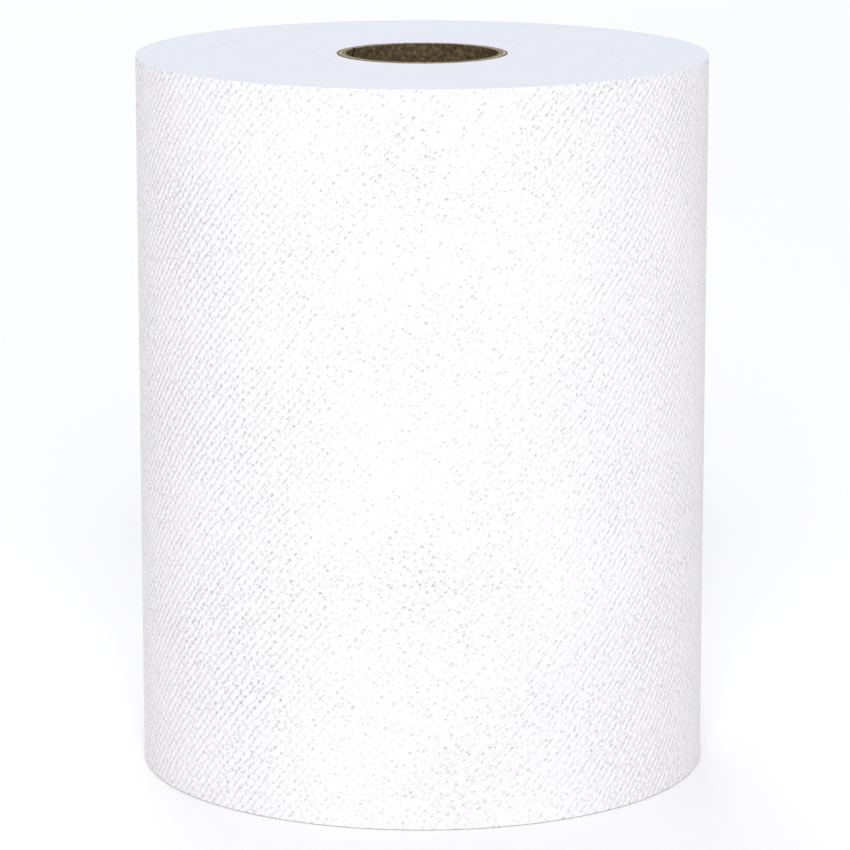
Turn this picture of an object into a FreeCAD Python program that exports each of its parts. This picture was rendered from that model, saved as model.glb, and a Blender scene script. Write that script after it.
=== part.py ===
import FreeCAD, Part
import math
import os

# Roll of paper hand towel, wound hard on a spiral paperboard core and stood on its end.
# The origin is the centre of the end that it stands on, and +Z runs up the core.
# The roll is seen from -Y, and the loose end of the web lies at the back.

# Sizes to set, in millimetres and degrees
ROLL_WIDTH = 203.2            # width of the web, which is the roll's height as it stands
ROLL_DIAMETER = 161.4         # across the outermost turn
CORE_BORE = 43.2              # inside of the core, where a holder's hubs go
CORE_WALL = 2.6               # paperboard wall of the core
CORE_FIT = 0.0                # gap between the core and the first turn, which is glued to it
WEB_THICKNESS = 0.12          # one layer of towel as wound, which is the step at the loose end
TAIL_ANGLE = 118.0            # where the loose end lies, counted from +X towards +Y
TURNS_SHOWN = 9               # turns of the spiral line that stands for the edges of the web
TURN_LINE_WIDTH = 0.5         # width of that line on the roll's end face
TURN_LINE_DEPTH = 0.15        # depth of that line below the end face
TURN_LINE_INSET = 0.8         # from the outermost turn, and from the core, to the line's two ends
CORE_PLIES = 3                # layers of paperboard in the core's wall
PLY_LINE_WIDTH = 0.2          # width of the line between two plies on the core's cut end
PLY_LINE_DEPTH = 0.1          # depth of that line
PLY_STRIP_WIDTH = 101.6       # width of the paperboard strip that the innermost ply is wound from
SEAM_GAP = 0.8                # gap between neighbouring turns of that strip, along the core's axis
SEAM_GLUE = 0.2               # glue at the bottom of the gap, which is one ply deep without it
SEAM_ANGLE_AT_TOP = 152.0     # where the gap meets the core's upper end, counted from +X towards +Y
CUTTER_OVERRUN = 1.0          # how far a cutting shape runs past the face that it cuts

# Sizes that follow from those
ROLL_RADIUS = ROLL_DIAMETER / 2
BORE_RADIUS = CORE_BORE / 2
CORE_RADIUS = BORE_RADIUS + CORE_WALL
FIRST_TURN_RADIUS = CORE_RADIUS + CORE_FIT
PLY_THICKNESS = CORE_WALL / CORE_PLIES

ORIGIN = FreeCAD.Vector(0, 0, 0)
UP = FreeCAD.Vector(0, 0, 1)
END_FACES = ((ROLL_WIDTH, 1), (0, -1))    # height of each end face, and which way it faces along Z


def section(points):
    """A flat face in the XZ plane from (radius, height) pairs."""
    corners = [FreeCAD.Vector(radius, 0, height) for radius, height in points]
    return Part.Face(Part.makePolygon(corners + corners[:1]))


def rectangle(inner, outer, bottom, top):
    """The section of a plain ring or strip."""
    return section([(inner, bottom), (outer, bottom), (outer, top), (inner, top)])


def vee(radius, width, depth, face_height, facing):
    """The section of a V line in an end face, carried a little past the face."""
    half_mouth = width / 2 * (depth + CUTTER_OVERRUN) / depth
    bottom = face_height - facing * depth
    mouth = face_height + facing * CUTTER_OVERRUN
    return section([(radius, bottom), (radius + half_mouth, mouth), (radius - half_mouth, mouth)])


def half_turn(ring_section, centre_x, start_angle):
    """A section swept through half a turn about the upright axis at (centre_x, 0)."""
    centre = FreeCAD.Vector(centre_x, 0, 0)
    placed = ring_section.copy()
    placed.rotate(ORIGIN, UP, start_angle)
    placed.translate(centre)
    return placed.revolve(centre, UP, 180)


def spiral_turn(section_at, start_radius, step):
    """One turn that comes in by step: two half turns about centres that are step / 2 apart."""
    first = half_turn(section_at(start_radius - step / 4), step / 4, 0)
    second = half_turn(section_at(start_radius - 3 * step / 4), -step / 4, 180)
    return [first, second]


def turn_line(face_height, facing):
    """The line that the web's edge draws on an end face, from the loose end in to the core."""
    def line_section(radius):
        return vee(radius, TURN_LINE_WIDTH, TURN_LINE_DEPTH, face_height, facing)

    start = ROLL_RADIUS - WEB_THICKNESS - TURN_LINE_INSET
    pitch = (start - FIRST_TURN_RADIUS - TURN_LINE_INSET) / TURNS_SHOWN
    halves = []
    for turn in range(TURNS_SHOWN):
        halves += spiral_turn(line_section, start - turn * pitch, pitch)
    return halves[0].multiFuse(halves[1:])


def wound_towel():
    """The wound web, whose outermost turn steps down by one layer at the loose end."""
    def web_section(radius):
        return rectangle(0, radius, 0, ROLL_WIDTH)

    first, second = spiral_turn(web_section, ROLL_RADIUS, WEB_THICKNESS)
    towel = first.fuse(second)
    towel = towel.cut(Part.makeCylinder(FIRST_TURN_RADIUS, ROLL_WIDTH))
    for face_height, facing in END_FACES:
        towel = towel.cut(turn_line(face_height, facing))
    towel.rotate(ORIGIN, UP, TAIL_ANGLE)
    return towel


def core_seam():
    """The gap between neighbouring turns of the innermost ply, a left-hand helix in the bore."""
    girth = math.pi * CORE_BORE
    lean = math.asin(PLY_STRIP_WIDTH / girth)
    pitch = girth * math.tan(lean)
    length = ROLL_WIDTH + 2 * CUTTER_OVERRUN
    straight = 0
    left_hand = True
    path = Part.makeHelix(pitch, length, BORE_RADIUS, straight, left_hand)
    inner = BORE_RADIUS - CUTTER_OVERRUN
    outer = BORE_RADIUS + PLY_THICKNESS - SEAM_GLUE
    gap = rectangle(inner, outer, -SEAM_GAP / 2, SEAM_GAP / 2)
    solid = True
    keeps_upright = True
    seam = Part.Wire(path.Edges).makePipeShell([gap.OuterWire], solid, keeps_upright)
    seam.translate(FreeCAD.Vector(0, 0, -CUTTER_OVERRUN))
    turned_at_top = -360 * (ROLL_WIDTH + CUTTER_OVERRUN) / pitch
    seam.rotate(ORIGIN, UP, SEAM_ANGLE_AT_TOP - turned_at_top)
    return seam


def core_tube():
    """The spiral-wound paperboard tube, cut flush with the web at both ends."""
    tube = Part.makeCylinder(CORE_RADIUS, ROLL_WIDTH)
    tube = tube.cut(Part.makeCylinder(BORE_RADIUS, ROLL_WIDTH))
    for ply in range(1, CORE_PLIES):
        radius = BORE_RADIUS + ply * PLY_THICKNESS
        for face_height, facing in END_FACES:
            line = vee(radius, PLY_LINE_WIDTH, PLY_LINE_DEPTH, face_height, facing)
            tube = tube.cut(line.revolve(ORIGIN, UP, 360))
    return tube.cut(core_seam())


def save(node, shape):
    """One STEP file for one piece, which has to be a single sound solid."""
    if len(shape.Solids) != 1 or not shape.isValid():
        raise ValueError(f"{node} isn't one sound solid")
    shape.exportStep(f"parts/{node}.step")


os.makedirs("parts", exist_ok=True)
save("wound_towel", wound_towel())
save("core_tube", core_tube())
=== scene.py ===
import math

import bpy
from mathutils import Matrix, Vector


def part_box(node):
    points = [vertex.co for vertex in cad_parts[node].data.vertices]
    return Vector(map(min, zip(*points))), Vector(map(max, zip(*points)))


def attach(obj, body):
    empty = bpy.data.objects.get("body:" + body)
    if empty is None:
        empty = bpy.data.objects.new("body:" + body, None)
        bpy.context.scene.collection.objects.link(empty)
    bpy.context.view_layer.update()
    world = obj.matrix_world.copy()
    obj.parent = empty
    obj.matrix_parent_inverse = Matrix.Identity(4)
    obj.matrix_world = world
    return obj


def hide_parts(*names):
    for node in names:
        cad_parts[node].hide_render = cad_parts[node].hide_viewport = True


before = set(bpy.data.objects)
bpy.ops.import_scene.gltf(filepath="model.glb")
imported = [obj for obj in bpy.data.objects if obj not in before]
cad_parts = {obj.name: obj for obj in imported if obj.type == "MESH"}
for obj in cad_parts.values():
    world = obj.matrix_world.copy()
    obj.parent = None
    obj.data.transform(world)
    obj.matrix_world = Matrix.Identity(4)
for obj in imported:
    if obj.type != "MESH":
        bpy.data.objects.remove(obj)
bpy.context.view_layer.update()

# Core. The real tube is three strips of brown paperboard wound one over the other on a
# mandrel, each along a helix with a butt gap between its turns, glued together and sawn off
# with the web. The web's first turn is glued to it, and its bore takes a holder's hubs.
MM = 0.001
core_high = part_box("core_tube")[1]
ROLL_WIDTH = core_high[2]
CORE_RADIUS = core_high[0]
CORE_WALL = 2.6 * MM
BORE_RADIUS = CORE_RADIUS - CORE_WALL
BUTT_GAPS = (1.6 * MM, 0.6 * MM, 0.1 * MM)
BUTT_GAP_AT_TOP = math.radians(152)
PLIES = len(BUTT_GAPS)
PLY = CORE_WALL / PLIES
GLUE_LINE = 0.08 * MM
STRIP_ADVANCE = 153.3 * MM
STRIP_TURNS = 4
FACES_PER_TURN = 96
SAWN_ROUGHNESS = 0.06 * MM
SAWN_EDGE = 0.08 * MM


def nothing_selected():
    """Leaves edit mode and selects nothing, as the frame's own nodes come in selected."""
    if bpy.context.object and bpy.context.object.mode != "OBJECT":
        bpy.ops.object.mode_set(mode="OBJECT")
    bpy.ops.object.select_all(action="DESELECT")


def pick_points(piece, wanted):
    """Selects the points of a mesh whose place passes the test, and goes into edit mode."""
    bpy.ops.object.mode_set(mode="EDIT")
    bpy.ops.mesh.select_mode(type="VERT")
    bpy.ops.mesh.select_all(action="DESELECT")
    bpy.ops.object.mode_set(mode="OBJECT")
    for point in piece.data.vertices:
        point.select = wanted(point.co)
    bpy.ops.object.mode_set(mode="EDIT")


def trim(place, outward):
    """Cuts the whole mesh at a plane and throws away what lies beyond it."""
    bpy.ops.mesh.select_all(action="SELECT")
    bpy.ops.mesh.bisect(plane_co=place, plane_no=outward, clear_outer=True, threshold=1e-7)


def apply_place():
    """Puts an object's place, turn and scale into its mesh."""
    bpy.ops.object.transform_apply(location=True, rotation=True, scale=True)


# Each ply starts as one upright line, the cut edge of its strip, and is wound down the tube.
plies = []
for ply, butt_gap in enumerate(BUTT_GAPS):
    nothing_selected()
    radius = BORE_RADIUS + ply * PLY
    height = STRIP_ADVANCE - butt_gap
    gap_at_top = BUTT_GAP_AT_TOP + ply * 2 * math.pi / PLIES
    bottom = ROLL_WIDTH + butt_gap / 2 + STRIP_ADVANCE * gap_at_top / (2 * math.pi)
    bpy.ops.mesh.primitive_grid_add(
        x_subdivisions=1, y_subdivisions=24, size=1,
        location=(radius + 0.5 * MM, 0, bottom + height / 2), rotation=(math.pi / 2, 0, 0),
    )
    strip = bpy.context.object
    strip.scale = (MM, height, 1)
    apply_place()
    pick_points(strip, lambda place: place.x > radius + 0.5 * MM)
    bpy.ops.mesh.delete(type="VERT")
    bpy.ops.object.mode_set(mode="OBJECT")
    winding = strip.modifiers.new("winding", "SCREW")
    winding.axis = "Z"
    winding.angle = 2 * math.pi * STRIP_TURNS
    winding.screw_offset = -STRIP_ADVANCE * STRIP_TURNS
    winding.steps = FACES_PER_TURN * STRIP_TURNS
    winding.render_steps = winding.steps
    winding.use_smooth_shade = True
    bpy.ops.object.modifier_apply(modifier="winding")
    bpy.ops.object.mode_set(mode="EDIT")
    trim((0, 0, ROLL_WIDTH), (0, 0, 1))
    trim((0, 0, 0), (0, 0, -1))
    bpy.ops.mesh.select_all(action="SELECT")
    bpy.ops.mesh.normals_make_consistent(inside=False)
    bpy.ops.object.mode_set(mode="OBJECT")
    board = strip.modifiers.new("board", "SOLIDIFY")
    board.thickness = PLY - GLUE_LINE
    board.offset = 1
    bpy.ops.object.modifier_apply(modifier="board")
    plies.append(strip)

nothing_selected()
for strip in plies:
    strip.select_set(True)
bpy.context.view_layer.objects.active = plies[0]
bpy.ops.object.join()
core = bpy.context.object
core.name = "core_plies"
pick_points(core, lambda place: place.z > ROLL_WIDTH - 0.01 * MM or place.z < 0.01 * MM)
bpy.ops.transform.vertex_random(offset=SAWN_ROUGHNESS, uniform=0, normal=0, seed=4)
bpy.ops.object.mode_set(mode="OBJECT")
worn = core.modifiers.new("worn", "BEVEL")
worn.width = SAWN_EDGE
worn.segments = 1
worn.limit_method = "ANGLE"
worn.angle_limit = math.radians(50)
bpy.ops.object.modifier_apply(modifier="worn")
bpy.ops.object.shade_smooth_by_angle(angle=math.radians(40))


def new_finish(name, colour, roughness):
    """A material with one shader, and its node tree and shader for the details."""
    finish = bpy.data.materials.new(name)
    finish.use_nodes = True
    tree = finish.node_tree
    shader = tree.nodes["Principled BSDF"]
    shader.inputs["Base Color"].default_value = (*colour, 1)
    shader.inputs["Roughness"].default_value = roughness
    shader.inputs["Specular IOR Level"].default_value = 0.2
    return finish, tree, shader


def node(tree, kind, settings=(), **values):
    """A node with its settings and the values of its unlinked sockets."""
    made = tree.nodes.new(kind)
    for name, value in dict(settings).items():
        setattr(made, name, value)
    for name, value in values.items():
        made.inputs[name.replace("_", " ")].default_value = value
    return made


def sum_of(tree, operation, first, second):
    """A Math node on two links or numbers, and its result."""
    made = node(tree, "ShaderNodeMath", {"operation": operation})
    for socket, value in zip(made.inputs, (first, second)):
        if isinstance(value, (int, float)):
            socket.default_value = value
        else:
            tree.links.new(value, socket)
    return made.outputs[0]


def shades(tree, factor, stops):
    """A colour ramp on a link, from (place, colour) pairs."""
    ramp = node(tree, "ShaderNodeValToRGB")
    band = ramp.color_ramp
    while len(band.elements) < len(stops):
        band.elements.new(0.5)
    for element, (place, colour) in zip(band.elements, stops):
        element.position = place
        element.color = (*colour, 1)
    tree.links.new(factor, ramp.inputs["Fac"])
    return ramp.outputs["Color"]


kraft, tree, shader = new_finish("brown_paperboard", (0.2, 0.16, 0.11), 0.9)
place = node(tree, "ShaderNodeTexCoord").outputs["Object"]
fibres = node(tree, "ShaderNodeTexNoise", Scale=900, Detail=6, Roughness=0.65)
wrinkles = node(tree, "ShaderNodeTexNoise", Scale=320, Detail=3, Roughness=0.5, Distortion=0.6)
for texture in (fibres, wrinkles):
    tree.links.new(place, texture.inputs["Vector"])
tree.links.new(
    shades(tree, fibres.outputs["Fac"], [
        (0.3, (0.05, 0.033, 0.016)), (0.5, (0.118, 0.085, 0.045)), (0.72, (0.25, 0.188, 0.11)),
    ]),
    shader.inputs["Base Color"],
)
rough = node(tree, "ShaderNodeBump", Strength=1.0, Distance=0.0007)
tree.links.new(wrinkles.outputs["Fac"], rough.inputs["Height"])
fine = node(tree, "ShaderNodeBump", Strength=0.8, Distance=0.00012)
tree.links.new(fibres.outputs["Fac"], fine.inputs["Height"])
tree.links.new(rough.outputs["Normal"], fine.inputs["Normal"])
tree.links.new(fine.outputs["Normal"], shader.inputs["Normal"])

sawn, tree, shader = new_finish("sawn_paperboard", (0.36, 0.28, 0.17), 0.95)
place = node(tree, "ShaderNodeTexCoord").outputs["Object"]
grain = node(tree, "ShaderNodeTexNoise", Scale=420, Detail=5, Roughness=0.7)
patches = node(tree, "ShaderNodeTexNoise", Scale=85, Detail=2, Roughness=0.5)
for texture in (grain, patches):
    tree.links.new(place, texture.inputs["Vector"])
flat_place = node(tree, "ShaderNodeVectorMath", {"operation": "MULTIPLY"})
flat_place.inputs[1].default_value = (1, 1, 0)
tree.links.new(place, flat_place.inputs[0])
from_axis = node(tree, "ShaderNodeVectorMath", {"operation": "LENGTH"})
tree.links.new(flat_place.outputs["Vector"], from_axis.inputs[0])
through_wall = sum_of(
    tree, "DIVIDE",
    sum_of(tree, "SUBTRACT", from_axis.outputs["Value"], BORE_RADIUS), CORE_WALL,
)
mixed = sum_of(
    tree, "ADD",
    sum_of(tree, "MULTIPLY", sum_of(tree, "SUBTRACT", grain.outputs["Fac"], 0.5), 0.3),
    sum_of(tree, "MULTIPLY", sum_of(tree, "SUBTRACT", patches.outputs["Fac"], 0.5), 0.9),
)
tree.links.new(
    shades(tree, sum_of(tree, "ADD", through_wall, mixed), [
        (0.0, (0.24, 0.19, 0.11)), (0.24, (0.28, 0.24, 0.15)), (0.33, (0.09, 0.065, 0.035)),
        (0.42, (0.42, 0.38, 0.26)), (0.58, (0.56, 0.52, 0.38)), (0.67, (0.12, 0.08, 0.04)),
        (0.76, (0.3, 0.2, 0.1)), (1.0, (0.2, 0.12, 0.055)),
    ]),
    shader.inputs["Base Color"],
)
furry = node(tree, "ShaderNodeBump", Strength=1.0, Distance=0.0002)
tree.links.new(grain.outputs["Fac"], furry.inputs["Height"])
tree.links.new(furry.outputs["Normal"], shader.inputs["Normal"])

# Faces off the bore, which show only down the narrow butt gaps, are painted near black: painted shade
# for the deep gaps, with a random mottle.
butt_gap_shade, tree, shader = new_finish("painted_shade_in_core_gaps", (0.02, 0.015, 0.01), 0.7)
place = node(tree, "ShaderNodeTexCoord").outputs["Object"]
gap_darkness_mottle = node(tree, "ShaderNodeTexNoise", Scale=260, Detail=3, Roughness=0.6)
tree.links.new(place, gap_darkness_mottle.inputs["Vector"])
tree.links.new(
    shades(tree, gap_darkness_mottle.outputs["Fac"], [(0.35, (0.01, 0.007, 0.005)), (0.65, (0.03, 0.022, 0.015))]),
    shader.inputs["Base Color"],
)

core.data.materials.clear()
core.data.materials.append(kraft)
core.data.materials.append(sawn)
core.data.materials.append(butt_gap_shade)
# The third material, the painted gap shade, goes on every face that is off the bore and is not a sawn
# end.
for face in core.data.polygons:
    cut_end = abs(face.normal.z) > 0.9
    hidden = math.hypot(face.center.x, face.center.y) > BORE_RADIUS + 0.05 * MM
    face.material_index = 1 if cut_end else 2 if hidden else 0
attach(core, "root")
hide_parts("core_tube")


# Edges of the wound web. The web is slit to its width before it is wound, so each end of the
# roll is made of the edges of its turns. One strip runs from the loose end in to the core in
# a flat spiral, each of its turns standing for about nine turns of the web.
ROLL_RADIUS = 80.7 * MM
WEB = 0.12 * MM
LOOSE_END = math.radians(118)
BANDS = 51
FACES_PER_BAND = 110
BAND_GROOVE = 0.07 * MM
BAND_BELOW_END = 0.09 * MM
SLITTING_SHIFT = 0.05 * MM
spiral_start = ROLL_RADIUS - 0.5 * MM
spiral_end = CORE_RADIUS - 0.8 * MM
band_pitch = (spiral_start - spiral_end) / BANDS
unwound_radius = 50 * MM
unwound = 2 * math.pi * BANDS * unwound_radius


def wind_up(piece, turns, radius):
    """Winds a flat mesh, whose X runs along the web, round the upright axis of the roll."""
    winding = piece.modifiers.new("winding", "SIMPLE_DEFORM")
    winding.deform_method = "BEND"
    winding.deform_axis = "Z"
    winding.angle = 2 * math.pi * turns
    bpy.ops.object.modifier_apply(modifier="winding")
    piece.location.y = -radius
    apply_place()


nothing_selected()
bpy.ops.mesh.primitive_grid_add(
    x_subdivisions=BANDS * FACES_PER_BAND, y_subdivisions=3, size=1, location=(0, 0, 0),
)
edges = bpy.context.object
edges.name = "turn_edges"
edges.scale = (unwound, band_pitch, 1)
apply_place()
pick_points(edges, lambda place: abs(place.y) < 0.4 * band_pitch)
bpy.ops.transform.translate(value=(0, 0, BAND_GROOVE))
bpy.ops.transform.vertex_random(offset=0.02 * MM, uniform=0, normal=0, seed=11)
bpy.ops.object.mode_set(mode="OBJECT")
edges.location = (unwound / 2, 0, 0)
apply_place()
edges.rotation_euler.z = math.atan2(BANDS * band_pitch, unwound)
edges.location.y = unwound_radius - spiral_start + band_pitch / 2
apply_place()
wind_up(edges, BANDS, unwound_radius)
edges.rotation_euler.z = LOOSE_END + math.pi / 2
edges.location.z = ROLL_WIDTH - BAND_BELOW_END
apply_place()
bpy.ops.object.mode_set(mode="EDIT")
bpy.ops.mesh.select_all(action="SELECT")
bpy.ops.mesh.remove_doubles(threshold=0.05 * MM)
bpy.ops.object.mode_set(mode="OBJECT")
uneven = bpy.data.textures.new("uneven_slitting", "CLOUDS")
uneven.noise_scale = 0.012
shifted = edges.modifiers.new("shifted", "DISPLACE")
shifted.texture = uneven
shifted.texture_coords = "LOCAL"
shifted.direction = "Z"
shifted.strength = SLITTING_SHIFT
shifted.mid_level = 1
bpy.ops.object.modifier_apply(modifier="shifted")
bpy.ops.object.mode_set(mode="EDIT")
bpy.ops.mesh.select_all(action="SELECT")
bpy.ops.mesh.duplicate()
bpy.ops.transform.resize(value=(1, 1, -1), center_override=(0, 0, ROLL_WIDTH / 2))
bpy.ops.mesh.flip_normals()
bpy.ops.object.mode_set(mode="OBJECT")
bpy.ops.object.shade_smooth()

slit, tree, shader = new_finish("slit_web_edges", (0.78, 0.8, 0.87), 1.0)
place = node(tree, "ShaderNodeTexCoord").outputs["Object"]
apart = node(tree, "ShaderNodeSeparateXYZ")
tree.links.new(place, apart.inputs["Vector"])
across = sum_of(
    tree, "SQRT",
    sum_of(
        tree, "ADD",
        sum_of(tree, "MULTIPLY", apart.outputs["X"], apart.outputs["X"]),
        sum_of(tree, "MULTIPLY", apart.outputs["Y"], apart.outputs["Y"]),
    ),
    0,
)
turns_line = node(tree, "ShaderNodeCombineXYZ")
tree.links.new(sum_of(tree, "MULTIPLY", across, 40), turns_line.inputs["X"])
tree.links.new(apart.outputs["X"], turns_line.inputs["Y"])
tree.links.new(apart.outputs["Y"], turns_line.inputs["Z"])
layers = node(tree, "ShaderNodeTexNoise", Scale=60, Detail=4, Roughness=0.7)
tree.links.new(turns_line.outputs["Vector"], layers.inputs["Vector"])
streaks = node(tree, "ShaderNodeTexNoise", Scale=14, Detail=3, Roughness=0.6)
tree.links.new(turns_line.outputs["Vector"], streaks.inputs["Vector"])
tree.links.new(
    shades(tree, streaks.outputs["Fac"], [
        (0.35, (0.76, 0.778, 0.852)), (0.5, (0.776, 0.794, 0.864)), (0.68, (0.796, 0.814, 0.875)),
    ]),
    shader.inputs["Base Color"],
)
layered = node(tree, "ShaderNodeBump", Strength=0.35, Distance=0.0001)
tree.links.new(layers.outputs["Fac"], layered.inputs["Height"])
tree.links.new(layered.outputs["Normal"], shader.inputs["Normal"])
edges.data.materials.append(slit)
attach(edges, "root")
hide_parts("wound_towel")


# Outermost turn. The towel is one ply of white tissue, pressed between steel rollers into a
# net of small slanting dimples before it is wound. Its last few millimetres are the loose
# end, which lies at the back and lifts a little off the turn below it.
NET_ALONG = 268
NET_UP = 209
NET_FIRST_TURN = math.radians(-65.34)
NET_STRETCH = (2.326 * MM, 1.933 * MM)
NET_LAST_TURN = math.radians(27.24)
DASH_LEAN = math.radians(31)
DIMPLE = 0.15 * MM
VALLEY = 0.06 * MM
CREPE = 0.03 * MM
FLAP = 9 * MM
FLAP_LIFT = 0.3 * MM
RIM = 1.9 * MM
girth = 2 * math.pi * ROLL_RADIUS
web_start = girth * ((LOOSE_END + math.pi / 2) / (2 * math.pi) - 1)
web_end = web_start + girth + FLAP


def pick_open_edges(piece, wanted):
    """Selects open edges whose two ends both pass the test, and goes into edit mode."""
    bpy.ops.object.mode_set(mode="EDIT")
    bpy.ops.mesh.select_mode(type="EDGE")
    bpy.ops.mesh.select_all(action="DESELECT")
    bpy.ops.mesh.select_non_manifold(extend=False)
    bpy.ops.object.mode_set(mode="OBJECT")
    points = piece.data.vertices
    for edge in piece.data.edges:
        edge.select = edge.select and all(wanted(points[end].co) for end in edge.vertices)
    bpy.ops.object.mode_set(mode="EDIT")


# The net is laid out flat with one unit to a dimple, pressed, and then drawn to its diamond.
nothing_selected()
bpy.ops.mesh.primitive_grid_add(
    x_subdivisions=2 * NET_ALONG, y_subdivisions=2 * NET_UP, size=1, location=(0, 0, 0),
)
web = bpy.context.object
web.name = "outer_turn"
web.scale = (NET_ALONG, NET_UP, 1)
apply_place()
pick_points(web, lambda place: round(2 * place.x + NET_ALONG) % 2 == 0)
bpy.ops.transform.translate(value=(0, 0, -VALLEY))
bpy.ops.object.mode_set(mode="OBJECT")
pick_points(
    web,
    lambda place: round(2 * place.x + NET_ALONG) % 2 == 0 and round(2 * place.y + NET_UP) % 2 == 0,
)
bpy.ops.transform.translate(value=(0, 0, VALLEY - DIMPLE))
bpy.ops.object.mode_set(mode="OBJECT")
web.rotation_euler.z = NET_FIRST_TURN
apply_place()
web.scale = (*NET_STRETCH, 1)
apply_place()
web.rotation_euler.z = NET_LAST_TURN
apply_place()
web.location = ((web_start + web_end) / 2, ROLL_WIDTH / 2, 0)
apply_place()
bpy.ops.object.mode_set(mode="EDIT")
bpy.ops.mesh.select_all(action="SELECT")
bpy.ops.transform.vertex_random(offset=CREPE, uniform=0, normal=0, seed=23)
trim((0, ROLL_WIDTH, 0), (0, 1, 0))
trim((0, 0, 0), (0, -1, 0))
trim((web_end, 0, 0), (1, 0, 0))
trim((web_start, 0, 0), (-1, 0, 0))
bpy.ops.object.mode_set(mode="OBJECT")
web.rotation_euler.x = math.pi / 2
apply_place()

# The free end lifts off and shows the thickness of the web.
pick_points(web, lambda place: place.x < web_start + 0.05 * MM)
bpy.ops.transform.translate(
    value=(0, -FLAP_LIFT, 0), use_proportional_edit=True,
    proportional_edit_falloff="SHARP", proportional_size=FLAP,
)
bpy.ops.mesh.extrude_region_move(TRANSFORM_OT_translate={"value": (0, WEB, 0)})
bpy.ops.object.mode_set(mode="OBJECT")

# Wound on as a spiral, it comes in by its own thickness over the turn.
web.rotation_euler.z = math.atan2(WEB, girth)
web.location.y = -math.tan(web.rotation_euler.z) * web_start
apply_place()
wind_up(web, (web_end - web_start) / girth, ROLL_RADIUS)
for height in (ROLL_WIDTH, 0):
    pick_open_edges(web, lambda place: abs(place.z - height) < 0.002 * MM)
    bpy.ops.mesh.extrude_region_move(TRANSFORM_OT_translate={"value": (0, 0, 0)})
    slimmer = 1 - RIM / ROLL_RADIUS
    bpy.ops.transform.resize(value=(slimmer, slimmer, 1), center_override=(0, 0, height))
    sunk = math.copysign(2 * BAND_BELOW_END, ROLL_WIDTH / 2 - height)
    bpy.ops.transform.translate(value=(0, 0, sunk))
    bpy.ops.object.mode_set(mode="OBJECT")
bpy.ops.object.shade_smooth_by_angle(angle=math.radians(60))

tissue, tree, shader = new_finish("embossed_tissue", (0.92, 0.915, 0.93), 0.95)
flat_net = node(tree, "ShaderNodeUVMap", {"uv_map": "UVMap"}).outputs["UV"]
counted = node(tree, "ShaderNodeMapping", Scale=(NET_ALONG, NET_UP, 1))
tree.links.new(flat_net, counted.inputs["Vector"])
drift = node(tree, "ShaderNodeTexNoise", {"noise_dimensions": "2D"}, Scale=0.4, Detail=1)
tree.links.new(counted.outputs["Vector"], drift.inputs["Vector"])
drifting = node(tree, "ShaderNodeVectorMath", {"operation": "SCALE"}, Scale=0.4)
tree.links.new(drift.outputs["Color"], drifting.inputs["Vector"])
drifted = node(tree, "ShaderNodeVectorMath", {"operation": "ADD"})
tree.links.new(counted.outputs["Vector"], drifted.inputs[0])
tree.links.new(drifting.outputs["Vector"], drifted.inputs[1])
net = node(tree, "ShaderNodeSeparateXYZ")
tree.links.new(drifted.outputs["Vector"], net.inputs["Vector"])


def net_step(along, up):
    """Where a step over the pressed net leads on the flat web once it is drawn to its diamond."""
    wide = NET_STRETCH[0] * (along * math.cos(NET_FIRST_TURN) - up * math.sin(NET_FIRST_TURN))
    high = NET_STRETCH[1] * (along * math.sin(NET_FIRST_TURN) + up * math.cos(NET_FIRST_TURN))
    return (
        wide * math.cos(NET_LAST_TURN) - high * math.sin(NET_LAST_TURN),
        wide * math.sin(NET_LAST_TURN) + high * math.cos(NET_LAST_TURN),
    )


def dashes(fineness, scatter, half_length, half_width, least):
    """Short leaning dashes on the net: how deep each place is pressed, from 0 to 1."""
    finer = node(tree, "ShaderNodeVectorMath", {"operation": "SCALE"}, Scale=fineness)
    tree.links.new(drifted.outputs["Vector"], finer.inputs["Vector"])
    points = node(
        tree, "ShaderNodeTexVoronoi", {"voronoi_dimensions": "2D", "feature": "F1"},
        Scale=1.0, Randomness=scatter,
    )
    tree.links.new(finer.outputs["Vector"], points.inputs["Vector"])
    offset = node(tree, "ShaderNodeVectorMath", {"operation": "SUBTRACT"})
    tree.links.new(finer.outputs["Vector"], offset.inputs[0])
    tree.links.new(points.outputs["Position"], offset.inputs[1])
    reach = node(tree, "ShaderNodeCombineXYZ")
    for socket, lean, half in (
        ("X", DASH_LEAN, half_length), ("Y", DASH_LEAN + math.pi / 2, half_width),
    ):
        share = node(tree, "ShaderNodeVectorMath", {"operation": "DOT_PRODUCT"})
        tree.links.new(offset.outputs["Vector"], share.inputs[0])
        share.inputs[1].default_value = [
            (step[0] * math.cos(lean) + step[1] * math.sin(lean)) / half / fineness
            for step in (net_step(1, 0), net_step(0, 1), (0, 0))
        ]
        tree.links.new(share.outputs["Value"], reach.inputs[socket])
    distance = node(tree, "ShaderNodeVectorMath", {"operation": "LENGTH"})
    tree.links.new(reach.outputs["Vector"], distance.inputs[0])
    hollow = node(tree, "ShaderNodeMapRange", {"interpolation_type": "SMOOTHSTEP"})
    hollow.inputs["From Min"].default_value = 1.0
    hollow.inputs["From Max"].default_value = 0.0
    tree.links.new(distance.outputs["Value"], hollow.inputs["Value"])
    press = node(tree, "ShaderNodeSeparateColor")
    tree.links.new(points.outputs["Color"], press.inputs["Color"])
    press = sum_of(tree, "ADD", sum_of(tree, "MULTIPLY", press.outputs["Red"], 1 - least), least)
    return sum_of(tree, "MULTIPLY", hollow.outputs["Result"], press)


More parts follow.
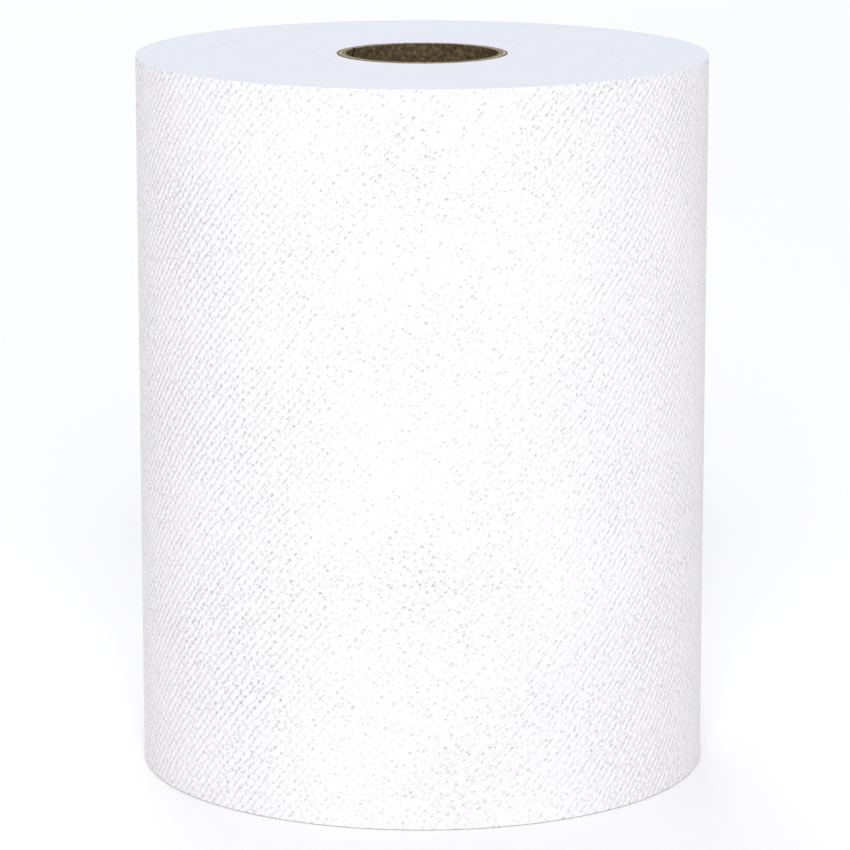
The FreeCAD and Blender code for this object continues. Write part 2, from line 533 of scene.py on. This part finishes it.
pressed = sum_of(
    tree, "ADD",
    dashes(1.0, 0.45, 1.1 * MM, 0.62 * MM, 0.45),
    sum_of(tree, "MULTIPLY", dashes(1.5, 0.9, 0.65 * MM, 0.45 * MM, 0.2), 0.8),
)
ridges = sum_of(tree, "COSINE", sum_of(tree, "MULTIPLY", net.outputs["X"], 2 * math.pi), 0)
relief = sum_of(tree, "ADD", pressed, sum_of(tree, "MULTIPLY", ridges, 0.33))
place = node(tree, "ShaderNodeTexCoord").outputs["Object"]
loft = node(tree, "ShaderNodeTexNoise", Scale=24, Detail=2, Roughness=0.5)
tree.links.new(place, loft.inputs["Vector"])
relief = sum_of(
    tree, "MULTIPLY", relief,
    sum_of(tree, "ADD", sum_of(tree, "MULTIPLY", loft.outputs["Fac"], 1.2), 0.4),
)
crepe = node(tree, "ShaderNodeTexNoise", Scale=900, Detail=4, Roughness=0.6)
tree.links.new(place, crepe.inputs["Vector"])
# The tissue's colour is darker the deeper it is pressed: painted shade in the hollows of the dimples.
tree.links.new(
    shades(tree, pressed, [(0.15, (0.945, 0.925, 0.952)), (1.0, (0.88, 0.862, 0.9))]),
    shader.inputs["Base Color"],
)
creped = node(tree, "ShaderNodeBump", Strength=1.0, Distance=0.0001)
tree.links.new(crepe.outputs["Fac"], creped.inputs["Height"])
embossed = node(tree, "ShaderNodeBump", {"invert": True}, Strength=1.0, Distance=0.00034)
tree.links.new(relief, embossed.inputs["Height"])
tree.links.new(creped.outputs["Normal"], embossed.inputs["Normal"])
tree.links.new(embossed.outputs["Normal"], shader.inputs["Normal"])
web.data.materials.append(tissue)
web.data.materials.append(slit)
for face in web.data.polygons:
    face.material_index = 1 if abs(face.normal.z) > 0.9 else 0
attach(web, "root")
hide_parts("wound_towel")


# Studio. The roll stands on a pale sheet of board. A broad soft lamp stands behind the lens
# and above it, so its front is evenly bright and its sides fall off a little, and weaker ones
# hang over the roll and stand at its back.
nothing_selected()
bpy.ops.mesh.primitive_plane_add(size=12, location=(0, 0, -0.0002))
table = bpy.context.object
table.name = "studio_floor"
board, tree, shader = new_finish("pale_board", (0.97, 0.97, 0.97), 1.0)
table.data.materials.append(board)

surround = bpy.data.worlds.new("studio")
surround.use_nodes = True
surround.node_tree.nodes["Background"].inputs["Color"].default_value = (0.98, 0.985, 1.0, 1)
surround.node_tree.nodes["Background"].inputs["Strength"].default_value = 0.54
bpy.context.scene.world = surround


def lamp(name, place, aim, width, power, colour):
    """A square soft lamp that faces the point aim."""
    made = bpy.data.lights.new(name, "AREA")
    made.shape = "SQUARE"
    made.size = width
    made.energy = power
    made.color = colour
    holder = bpy.data.objects.new(name, made)
    bpy.context.scene.collection.objects.link(holder)
    holder.location = place
    away = [place[axis] - aim[axis] for axis in range(3)]
    holder.rotation_euler = (
        math.atan2(math.hypot(away[0], away[1]), away[2]), 0, math.atan2(away[0], -away[1]),
    )


lamp("front_lamp", (0, -5.2, 3.1), (0, 0, 0.1), 2.4, 175, (1, 1, 1))
lamp("top_lamp", (0, 0.8, 3.4), (0, 0, 0.2), 3.4, 30, (0.97, 0.98, 1))
lamp("back_lamp", (-1, 5.6, 2.2), (0, 0, 0.1), 2.4, 85, (1, 1, 1))

lens = bpy.data.cameras.new("camera")
lens.lens = 184.25
lens.sensor_width = 36
lens.clip_start = 0.05
lens.clip_end = 40
camera = bpy.data.objects.new("camera", lens)
bpy.context.scene.collection.objects.link(camera)
camera.location = (0, -15.1265 * ROLL_RADIUS, 4.35205 * ROLL_RADIUS)
camera.rotation_euler = (math.pi / 2 - 0.20603, 0, -0.00064)
bpy.context.scene.camera = camera
bpy.context.scene.view_settings.view_transform = "Standard"
bpy.context.scene.view_settings.look = "None"
